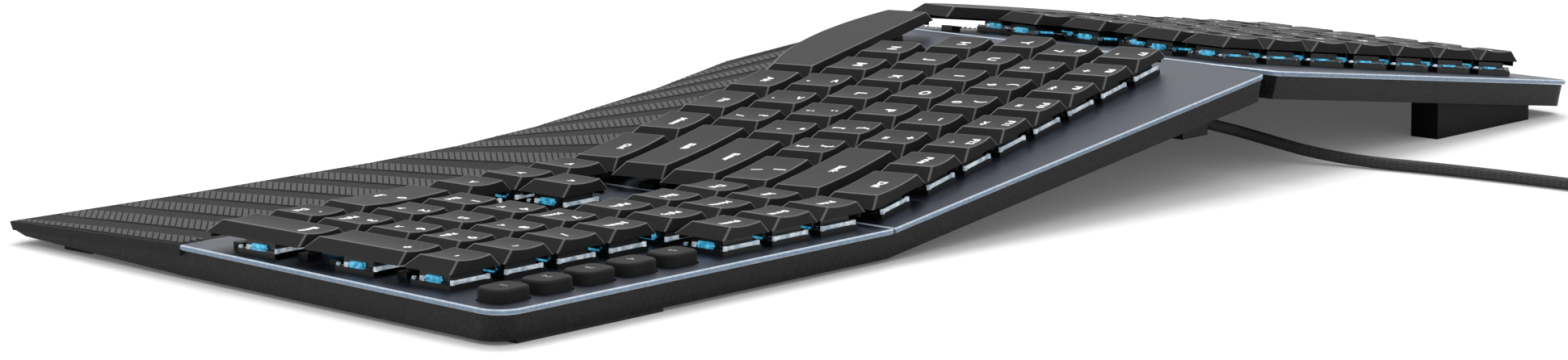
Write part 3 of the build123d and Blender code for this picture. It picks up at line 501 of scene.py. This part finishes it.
def print_text(bm, text, at, size, top, heavy=0.2):
    """Text laid on a surface: top(x, y) is the surface's height in mm."""
    mesh = glyphs(text, size, heavy)
    first = len(bm.verts)
    bm.from_mesh(mesh)
    bpy.data.meshes.remove(mesh)
    bm.verts.ensure_lookup_table()
    for v in bm.verts[first:]:
        x, y = v.co.x + at[0], v.co.y + at[1]
        v.co = Vector((x, y, top(x, y)))


# Marks of each cap, from the rear row and from the left: A|B prints A at the rear and B at the front
LEGENDS = {
    "keys_function_right": "F7|- F8|+ F9|<< F10|= F11|>> F12|* Print Del",
    "keys_number_right": "&|7 *|8 (|9 )|0 _|- +|=",
    "keys_upper_right": "Y U I O P {|[ }|]",
    "keys_home_right": "H J K L :|; \"|'",
    "keys_lower_right": "N M <|, >|. ?|/",
    "keys_modifier_right": "Alt Fn Menu Ctrl",
    "key_backspace": "Back",
    "key_backslash": "||\\",
    "key_enter": "Enter",
    "key_shift_right": "Shift",
    "keys_function_left": "F1 F2 F3 F4 F5 F6",
    "key_escape": "Esc",
    "keys_number_left": "~|` !|1 @|2 #|3 $|4 %|5 ^|6",
    "keys_upper_left": "Q W E R T",
    "key_tab": "Tab",
    "keys_home_left": "A S D F G",
    "key_caps_lock": "Caps",
    "keys_lower_left": "Z X C V B",
    "key_shift_left": "Shift",
    "keys_modifier_left": "Ctrl Fn Opt Alt",
    "keys_number_pad": "Num / * - 7|Home 8|^ 9|PgUp 4|< 5 6|> 1|End 2|v 3|PgDn .|Del",
    "key_pad_zero": "0|Ins",
    "key_pad_enter": "Enter",
    "key_pad_plus": "+",
    "keys_navigation": "Print Scroll Pause Ins Home PgUp Del End PgDn",
    "key_arrow_left": "<",
    "key_arrow_down": "v",
    "key_arrow_right": ">",
    "key_arrow_up": "^",
    "key_space_right": "",
    "key_space_left": "",
}


def section_of(name):
    """The section that a body of keys sits in, by its middle."""
    lowest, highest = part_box(name)
    x = (lowest[0] + highest[0]) / 2 / MM
    return PAD if x > FOLD_X else RIGHT if x > RIDGE_X else LEFT


def legend_size(text):
    """Height of a mark in mm: words are smaller than single signs."""
    return 4.7 if len(text) == 1 else 3.6 if len(text) < 4 else 3.0


def marks(text):
    if text == "||\\":
        return ["|", "\\"]
    return text.split("|")


LEGEND_REAR, LEGEND_LIFT = 0.34, 0.03   # share of a cap from its rear edge, and height over the plastic
PAIR_X, PAIR_REAR, PAIR_FRONT, PAIR_SCALE = 0.8, 3.2, 4.0, 0.9


def keycaps():
    """Caps and legends of every body of keys."""
    for name, words in LEGENDS.items():
        place = section_of(name)
        boxes = islands(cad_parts[name].data, place.inverted())
        boxes.sort(key=lambda b: (-round((b[2] + b[3]) / 20), b[0]))   # rows from the rear, then left to right
        bm = bmesh.new()
        for box in boxes:
            cap(bm, box, SPACE_BULGE if name.startswith("key_space") else 0.0)
        bmesh.ops.transform(bm, matrix=place @ Matrix.Scale(MM, 4), verts=bm.verts)
        piece = made("caps_" + name, bm, [CAP_PLASTIC, CAP_RIM_PAINTED_HIGHLIGHT, CAP_CORNER_PAINTED_HIGHLIGHT], name)
        even_shade(piece)
        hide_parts(name)
        if not words:
            continue
        bm = bmesh.new()
        for box, text in zip(boxes, words.split()):
            x0, x1, y0, y1 = box[:4]
            mid, half = (x0 + x1) / 2, (x1 - x0) / 2

            def top(x, y):
                dish = DISH * max(0.0, 1 - ((x - mid) / (half - SIDE_INSET)) ** 2)
                return CAP_TOP - dish + LEGEND_LIFT

            rear = y1 - REAR_INSET - min(y1 - y0, KEY) * LEGEND_REAR
            pair = marks(text)
            if len(pair) == 2:
                print_text(bm, pair[0], (mid - PAIR_X, rear + PAIR_REAR), legend_size(pair[0]) * PAIR_SCALE, top)
                print_text(bm, pair[1], (mid + PAIR_X, rear - PAIR_FRONT), legend_size(pair[1]) * PAIR_SCALE, top)
            else:
                print_text(bm, text, (mid, rear), legend_size(text), top)
        bmesh.ops.transform(bm, matrix=place @ Matrix.Scale(MM, 4), verts=bm.verts)
        piece = made("legends_" + name, bm, LEGEND, name)


keycaps()

# Soft buttons: thick rounded rectangles with a slightly crowned top and a small number
BUTTON_W, BUTTON_D, BUTTON_BOTTOM, BUTTON_ROUND, BUTTON_SOFT = 12.3, 9.9, -1.6, 3.2, 0.9
BUTTON_MARK, BUTTON_INK, BUTTON_HEAVY = 3.8, 0.02, 0.1   # size of a number, its height and its weight


def buttons():
    """The five soft buttons of the number section."""
    for i in range(1, 6):
        name = f"macro_key_{i}"
        x0, x1, y0, y1, top = islands(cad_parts[name].data, PAD.inverted())[0]
        mid = Vector(((x0 + x1) / 2, (y0 + y1) / 2, 0.0))
        bm = bmesh.new()
        block(bm, (mid.x - BUTTON_W / 2, mid.y - BUTTON_D / 2, BUTTON_BOTTOM),
              (mid.x + BUTTON_W / 2, mid.y + BUTTON_D / 2, top))
        rounded(bm, [e for e in bm.edges if abs(e.verts[0].co.z - e.verts[1].co.z) > 1], BUTTON_ROUND, 6)
        rounded(bm, [e for e in bm.edges if min(v.co.z for v in e.verts) > top - 0.01], BUTTON_SOFT, 5)
        bmesh.ops.transform(bm, matrix=PAD @ Matrix.Scale(MM, 4), verts=bm.verts)
        piece = made("soft_button_" + str(i), bm, BUTTON_RUBBER, name)
        even_shade(piece)
        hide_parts(name)
        bm = bmesh.new()
        print_text(bm, str(i), (mid.x, mid.y), BUTTON_MARK, lambda x, y: top + BUTTON_INK, BUTTON_HEAVY)
        bmesh.ops.transform(bm, matrix=PAD @ Matrix.Scale(MM, 4), verts=bm.verts)
        mark = made("legend_button_" + str(i), bm, FAINT, name)


buttons()

# Round and on each switch lid, in mm from its middle: (low corner, high corner) of every small part.
# Flanges lie on the plate, housings carry the clear bar at the rear, and windows let the light out
FLANGES = [((-7.4, -7.4, 0.02), (-2.5, 7.4, 1.4)), ((2.5, -7.4, 0.02), (7.4, 7.4, 1.4)),
           ((-2.5, -7.4, 0.02), (2.5, -2.5, 1.4)), ((-2.5, 2.5, 0.02), (2.5, 7.4, 1.4))]
HOUSING = [((-5.7, -5.7, 2.3), (-2.5, 5.7, 3.9)), ((2.5, -5.7, 2.3), (5.7, 5.7, 3.9)),
           ((-2.5, -5.7, 2.3), (2.5, -2.5, 3.9)), ((-2.5, 2.5, 2.3), (2.5, 5.7, 3.9))]
SIDE_WINDOW, REAR_WINDOW = ((5.0, -2.4, 1.45), (6.7, 2.5, 3.0)), ((-0.4, 7.45, 1.9), (5.0, 7.7, 2.5))
WINDOWS = {"number_pad": [SIDE_WINDOW], "right": [], "left": [SIDE_WINDOW, REAR_WINDOW]}
BAR = ((-6.2, 7.0, 1.45), (6.9, 7.62, 2.62))
# End blocks take the bars' material, so where it glows they show as painted glints
BAR_ENDS = [((-6.3, 6.9, 1.42), (-5.4, 7.7, 2.66)), ((6.1, 6.9, 1.42), (7.0, 7.7, 2.66)),
            ((6.2, -4.4, 1.42), (6.95, -3.0, 2.6)), ((6.4, -7.1, 1.42), (7.1, -6.2, 2.2))]
BAR_ROUND, LID_W = 0.3, 13.0   # a solid narrower than LID_W is the lid's top nub


def light_bars():
    """Flanges, housings, lights and clear bars of every switch, one piece of each per section."""
    for part, place in (("number_pad", PAD), ("right", RIGHT), ("left", LEFT)):
        bars, lit, flanges = bmesh.new(), bmesh.new(), bmesh.new()
        for x0, x1, y0, y1, top in islands(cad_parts["switch_lids_" + part].data, place.inverted()):
            if x1 - x0 < LID_W:
                continue
            mid = Vector(((x0 + x1) / 2, (y0 + y1) / 2, 0.0))
            for bm, boxes in ((flanges, FLANGES + HOUSING), (lit, WINDOWS[part]), (bars, BAR_ENDS)):
                for low, high in boxes:
                    block(bm, mid + Vector(low), mid + Vector(high))
            one = block(bars, mid + Vector(BAR[0]), mid + Vector(BAR[1]))
            rounded(bars, list({e for v in one for e in v.link_edges}), BAR_ROUND, 3)
        # The bars of the number pad and right sections carry the painted glow; the left ones are plain clear
        # plastic
        bar_look = LID_CLEAR if part == "left" else BAR_PAINTED_GLOW
        for name, bm, look, kind in (("light_bars_", bars, bar_look, "switch_lid_clear"),
                                     ("light_windows_", lit, LED, "led_resin"),
                                     ("switch_flanges_", flanges, BASE_PLASTIC, "switch_base_plastic")):
            if not bm.verts:
                continue
            bmesh.ops.transform(bm, matrix=place @ Matrix.Scale(MM, 4), verts=bm.verts)
            made(name + part, bm, look, BASE)


light_bars()


CHAMFER = 0.35


def outer_sides(bm):
    """Side faces of a plate round its outline, found by walking from the rearmost one."""
    sides = {f for f in bm.faces if abs(f.normal.z) < 0.5}
    front = [max(sides, key=lambda f: f.calc_center_median().y)]
    found = set(front)
    while front:
        for edge in front.pop().edges:
            for face in edge.link_faces:
                if face in sides and face not in found:
                    found.add(face)
                    front.append(face)
    return found


def trimmed_plates():
    """The plates with a fine chamfer round the top and the bottom of their outlines."""
    for part, place in (("number_pad", PAD), ("right", RIGHT), ("left", LEFT)):
        bm = bmesh.new()
        bm.from_mesh(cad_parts["plate_" + part].data)
        bmesh.ops.remove_doubles(bm, verts=bm.verts, dist=1e-6)
        bmesh.ops.transform(bm, matrix=Matrix.Scale(1 / MM, 4) @ place.inverted(), verts=bm.verts)
        bmesh.ops.dissolve_limit(bm, angle_limit=0.01, verts=bm.verts, edges=bm.edges)
        sides = outer_sides(bm)
        rims = [e for e in bm.edges if len(e.link_faces) == 2 and sum(f in sides for f in e.link_faces) == 1]
        # Sides and chamfers take the paler materials: painted highlights along the plates' edges
        for face in sides:
            face.material_index = 2
        for face in rounded(bm, rims, CHAMFER, 1):
            face.material_index = 1
        bmesh.ops.transform(bm, matrix=place @ Matrix.Scale(MM, 4), verts=bm.verts)
        piece = made("trimmed_plate_" + part, bm, [PLATE, EDGE_PAINTED_HIGHLIGHT, SHEET_SIDE_PAINTED_HIGHLIGHT], BASE, 20.0)
        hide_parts("plate_" + part)


trimmed_plates()

# Palm pad: the CAD pad's own shape, with diagonal ribs in bands that run from its front edge to the plates
STATIONS = [
    (168.4, -98.8, 5.1), (FOLD_X, -98.0, 4.9), (60.0, -99.5, 5.0), (23.4, -103.0, 5.9), (-36.0, -109.0, 9.9),
    (RIDGE_X, -110.3, 14.8), (-109.0, -109.0, 9.9), (-166.0, -103.0, 6.2), (-205.0, -100.0, 5.5),
]
SIDES = ((245.4, 232.4, 6.1), (-232.0, -244.3, 5.4))   # x at the rear and front, and the tip's height
PAD_T, PAD_GAP, SEAM_IN, SEAM_DROP, NOSE = 3.0, 0.2, 1.2, 2.4, 0.3
REAR_Y, SIDE_FRONT_Y, SIDE_MID_Y, TIP_Y = 110.3, -99.0, -60.0, -99.0
PLATE_FRONT, RIDGE_FRONT, LEFT_FRONT = -20.6, -47.5, -22.4   # y of the plates' front at the folds
SPAN_CUTS, PAD_ROWS = 6, 10
BANDS, BAND_X, BAND_PITCH, BAND_W, BAND_OVER = range(-5, 18), 124.9, 21.7, 11.6, 4
RIB_PITCH, RIB_W, RIB_H, RIB_LEAN, RIB_ROOT = 2.6, 2.05, 0.35, 1.1, 0.2
RIB_FRONT, RIB_REAR, RIB_SHORTEST, RIB_TRIM = 1.4, 0.6, 1.2, 0.2   # plain margins of the bands
# Margins, lift and side gap of the near-black sheet that is painted shade for the grooves
SHADE_SHEET_FRONT, SHADE_SHEET_SHORT, SHADE_SHEET_UP, SHADE_SHEET_EDGE = 1.6, 2.2, 0.05, 0.3
TIP_FADE, TIP_LEFT, SIDE_KEEP = 25.0, 0.35, 1.5


def side_x(y, rear, front):
    """x of a side of the keyboard at some y, from its x at the rear and at the front."""
    return rear + (front - rear) * (REAR_Y - y) / (REAR_Y - SIDE_FRONT_Y)


def plate_front(x):
    """y of the plates' front edge, which the pad meets."""
    if x >= FOLD_X:
        return PLATE_FRONT
    if x >= RIDGE_X:
        return PLATE_FRONT + (RIDGE_FRONT - PLATE_FRONT) * (FOLD_X - x) / (FOLD_X - RIDGE_X)
    far = side_x(LEFT_FRONT, *SIDES[1][:2])
    return RIDGE_FRONT + (LEFT_FRONT - RIDGE_FRONT) * (RIDGE_X - x) / (RIDGE_X - far)


def pad_lines():
    """Ends of the pad's top lines: where each starts at the plates and where it ends at its front."""
    lines = []
    ends = [(x, y, z, None) for x, y, z in STATIONS]
    for spot, side in ((0, SIDES[0]), (len(STATIONS) + 1, SIDES[1])):
        ends.insert(spot, (side_x(SIDE_MID_Y, *side[:2]), TIP_Y, side[2], side))
    for x, y, z, side in ends:
        rear_y = plate_front(x) - PAD_GAP
        rear_x = side_x(rear_y, *side[:2]) if side else x
        tip_x = side_x(y, *side[:2]) if side else x
        lines.append((Vector((rear_x, rear_y, plate_z(rear_x))), Vector((tip_x, y, z))))
    return lines


PAD_LINES = pad_lines()


def pad_line(x):
    """The pad's top line through a desk point's x, between its stations."""
    spots = [(a.x + b.x) / 2 for a, b in PAD_LINES]
    for i in range(len(spots) - 1):
        if x >= spots[i + 1] or i == len(spots) - 2:
            f = min(1.0, max(0.0, (spots[i] - x) / (spots[i] - spots[i + 1])))
            return tuple(PAD_LINES[i][k].lerp(PAD_LINES[i + 1][k], f) for k in (0, 1))


def pad_height(x, y):
    """Height of the pad's top over a point of the desk."""
    rear, tip = pad_line(x)
    return rear.z + (tip.z - rear.z) * (y - rear.y) / (tip.y - rear.y)


def palm_pad():
    """The pad: a sheet over its top lines, thick at the plates and thin at its rounded front edge."""
    spans = len(PAD_LINES) - 1
    bm = bmesh.new()
    bmesh.ops.create_grid(bm, x_segments=SPAN_CUTS * spans, y_segments=PAD_ROWS, size=0.5)
    for v in bm.verts:
        u, s = (v.co.x + 0.5) * spans, v.co.y + 0.5
        i = min(spans - 1, int(u + 1e-6))
        rear = PAD_LINES[i][0].lerp(PAD_LINES[i + 1][0], u - i)
        tip = PAD_LINES[i][1].lerp(PAD_LINES[i + 1][1], u - i)
        v.co = rear.lerp(tip, s)
    lower = bmesh.ops.extrude_face_region(bm, geom=bm.faces[:])["geom"]
    for v in [g for g in lower if isinstance(g, bmesh.types.BMVert)]:
        rear, tip = pad_line(v.co.x)
        s = (v.co.y - rear.y) / (tip.y - rear.y)
        v.co += Vector((0.0, SEAM_IN * s, -PAD_T + (PAD_T - SEAM_DROP) * s))
    bmesh.ops.recalc_face_normals(bm, faces=bm.faces)
    nose = [e for e in bm.edges if len(e.link_faces) == 2 and e.calc_face_angle() > 0.7
            and sorted(f.normal.z > 0.7 for f in e.link_faces) == [False, True]]
    rounded(bm, nose, NOSE, 3)
    bmesh.ops.transform(bm, matrix=Matrix.Scale(MM, 4), verts=bm.verts)
    pad = made("palm_pad", bm, PAD_STRIP, BASE)
    even_shade(pad)
    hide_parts("palm_rest_pad")


def rib_rise(x, y):
    """How far ribs stand up: less and less towards the pad's front edge."""
    return RIB_H * min(1.0, TIP_LEFT + (1 - TIP_LEFT) * (y - pad_line(x)[1].y) / TIP_FADE)


def laid(bm, shape, to_pad):
    """A copy of a unit shape whose corners are carried onto the pad."""
    first = len(bm.verts)
    bm.from_mesh(shape)
    bm.verts.ensure_lookup_table()
    for v in bm.verts[first:]:
        v.co = to_pad(v.co)


def unit_shape(cuts):
    """A unit block cut across its length, or a rib with rounded upper edges if uncut, as a mesh."""
    one = bmesh.new()
    block(one, (-0.5, -0.5, 0.0), (0.5, 0.5, 1.0))
    sliced(one, cuts, lambda i: (0, i / cuts - 0.5, 0), (0, 1, 0))
    if cuts == 1:
        top = [e for e in one.edges if min(v.co.z for v in e.verts) > 0.99
               and abs(e.verts[0].co.x - e.verts[1].co.x) > 0.5]
        rounded(one, top, 0.15, 2)
    mesh = bpy.data.meshes.new("unit")
    one.to_mesh(mesh)
    one.free()
    return mesh


def right_limit(y):
    """The largest x that a rib may reach at some y."""
    return side_x(y, *SIDES[0][:2]) - SIDE_KEEP


def palm_ribs():
    """Bands of slanted ribs, each band over a near-black sheet, painted shade for its grooves."""
    rib, shade_sheet = unit_shape(1), unit_shape(16)
    ribs, groove_shades = bmesh.new(), bmesh.new()
    for k in BANDS:
        x = BAND_X - k * BAND_PITCH
        if not PAD_LINES[-1][0].x + BAND_OVER < x < PAD_LINES[0][0].x + BAND_OVER:
            continue
        rear, tip = pad_line(x)

        # The near-black sheet under the band: painted shade for the grooves between the ribs
        def groove(co):
            y = tip.y + SHADE_SHEET_FRONT + (rear.y - tip.y - SHADE_SHEET_SHORT) * (co.y + 0.5)
            at = min(x + BAND_W * co.x, right_limit(y) + SHADE_SHEET_EDGE * co.x)
            return Vector((at, y, pad_height(at, y) + SHADE_SHEET_UP * (2 * co.z - 1)))

        laid(groove_shades, shade_sheet, groove)
        y = rear.y + BAND_W
        while y > tip.y - BAND_W:
            y -= RIB_PITCH
            low = max(-BAND_W / 2, (tip.y + RIB_FRONT - y) / RIB_LEAN)
            high = min(BAND_W / 2, (rear.y - RIB_REAR - y) / RIB_LEAN)
            while high > low and x + high > right_limit(y + RIB_LEAN * high):
                high -= RIB_TRIM
            if high - low < RIB_SHORTEST:
                continue

            def place(co):
                dx = low + (high - low) * (co.x + 0.5)
                at = Vector((x + dx, y + RIB_W * co.y + RIB_LEAN * dx))
                return Vector((at.x, at.y, pad_height(at.x, at.y) - RIB_ROOT
                               + (RIB_ROOT + rib_rise(at.x, at.y)) * co.z))

            laid(ribs, rib, place)
    for name, bm, look in (("palm_pad_ribs", ribs, PAD_RIB), ("palm_pad_painted_groove_shade", groove_shades, PAD_GROOVE_SHADE)):
        bmesh.ops.transform(bm, matrix=Matrix.Scale(MM, 4), verts=bm.verts)
        made(name, bm, look, BASE, 50.0)
    for mesh in (rib, shade_sheet):
        bpy.data.meshes.remove(mesh)


palm_pad()
palm_ribs()

# Desk and light: a white sweep, one wide soft sun and an even dome, so the ground stays white
floor_look, floor_tree, floor_shader = material("Seamless white paper")
paper = node(floor_tree, "TexNoise", [("Vector", node(floor_tree, "TexCoord").outputs["Object"])],
             [("Scale", 900.0)])
floor_tree.links.new(ramp(floor_tree, paper.outputs["Fac"], [(0.3, rgb("#fafafa")), (0.7, rgb("#fdfdfd"))]),
                     floor_shader.inputs["Base Color"])
floor_shader.inputs["Roughness"].default_value = 0.9
floor_shader.inputs["Specular IOR Level"].default_value = 0.1
# The camera alone sees the paper's own faint light: it keeps the shadow under the tent a mid grey
SHADOW_LIFT = 0.08
lift = node(floor_tree, "MapRange", [("Value", node(floor_tree, "LightPath").outputs["Is Camera Ray"])],
            [("To Max", SHADOW_LIFT)])
floor_tree.links.new(lift.outputs["Result"], floor_shader.inputs["Emission Strength"])
floor_shader.inputs["Emission Color"].default_value = rgb("#ffffff")
FLOOR_SIZE = 6.0
sweep = bmesh.new()
bmesh.ops.create_grid(sweep, x_segments=1, y_segments=1, size=FLOOR_SIZE)
floor_mesh = bpy.data.meshes.new("floor")
sweep.to_mesh(floor_mesh)
sweep.free()
floor_mesh.materials.append(floor_look)
floor = bpy.data.objects.new("floor", floor_mesh)
bpy.context.scene.collection.objects.link(floor)

world = bpy.data.worlds.new("studio")
bpy.context.scene.world = world
world.use_nodes = True
sky = world.node_tree
back = sky.nodes["Background"]
back.inputs["Color"].default_value = rgb("#ffffff")
# A soft dome lights the object, brighter high up. The camera, and so metal and glass, see plain white
DOME_AXIS = (0.0, 0.0, 1.0)
DOME_HIGH, HORIZON_FILL, DOME_FROM, DOME_FULL = 1.1, 0.6, 0.6, 0.95
aim = node(sky, "VectorMath", [(0, node(sky, "TexCoord").outputs["Generated"])], [(1, DOME_AXIS)],
           operation="DOT_PRODUCT")
dome = node(sky, "MapRange", [("Value", aim.outputs["Value"])],
            [("From Min", DOME_FROM), ("From Max", DOME_FULL), ("To Min", HORIZON_FILL), ("To Max", DOME_HIGH)],
            interpolation_type="SMOOTHSTEP")
path = node(sky, "LightPath")
through = node(sky, "Math", [(0, path.outputs["Is Camera Ray"]), (1, path.outputs["Is Transmission Ray"])],
               operation="MAXIMUM")
seen = node(sky, "Math", [(0, through.outputs["Value"]), (1, path.outputs["Is Glossy Ray"])], operation="MAXIMUM")
strength = node(sky, "MapRange", [("Value", seen.outputs["Value"]), ("To Min", dome.outputs["Result"])],
                [("To Max", 1.0)])
sky.links.new(strength.outputs["Result"], back.inputs["Strength"])

SUN_ENERGY, SUN_SPREAD, SUN_WAY = 1.35, 35.0, Vector((0.42, 0.34, -0.84))
sun_light = bpy.data.lights.new("key", "SUN")
sun_light.energy = SUN_ENERGY
sun_light.angle = math.radians(SUN_SPREAD)
sun = bpy.data.objects.new("key", sun_light)
sun.rotation_euler = SUN_WAY.to_track_quat("-Z", "Y").to_euler()
bpy.context.scene.collection.objects.link(sun)

bpy.context.scene.view_settings.view_transform = "Standard"
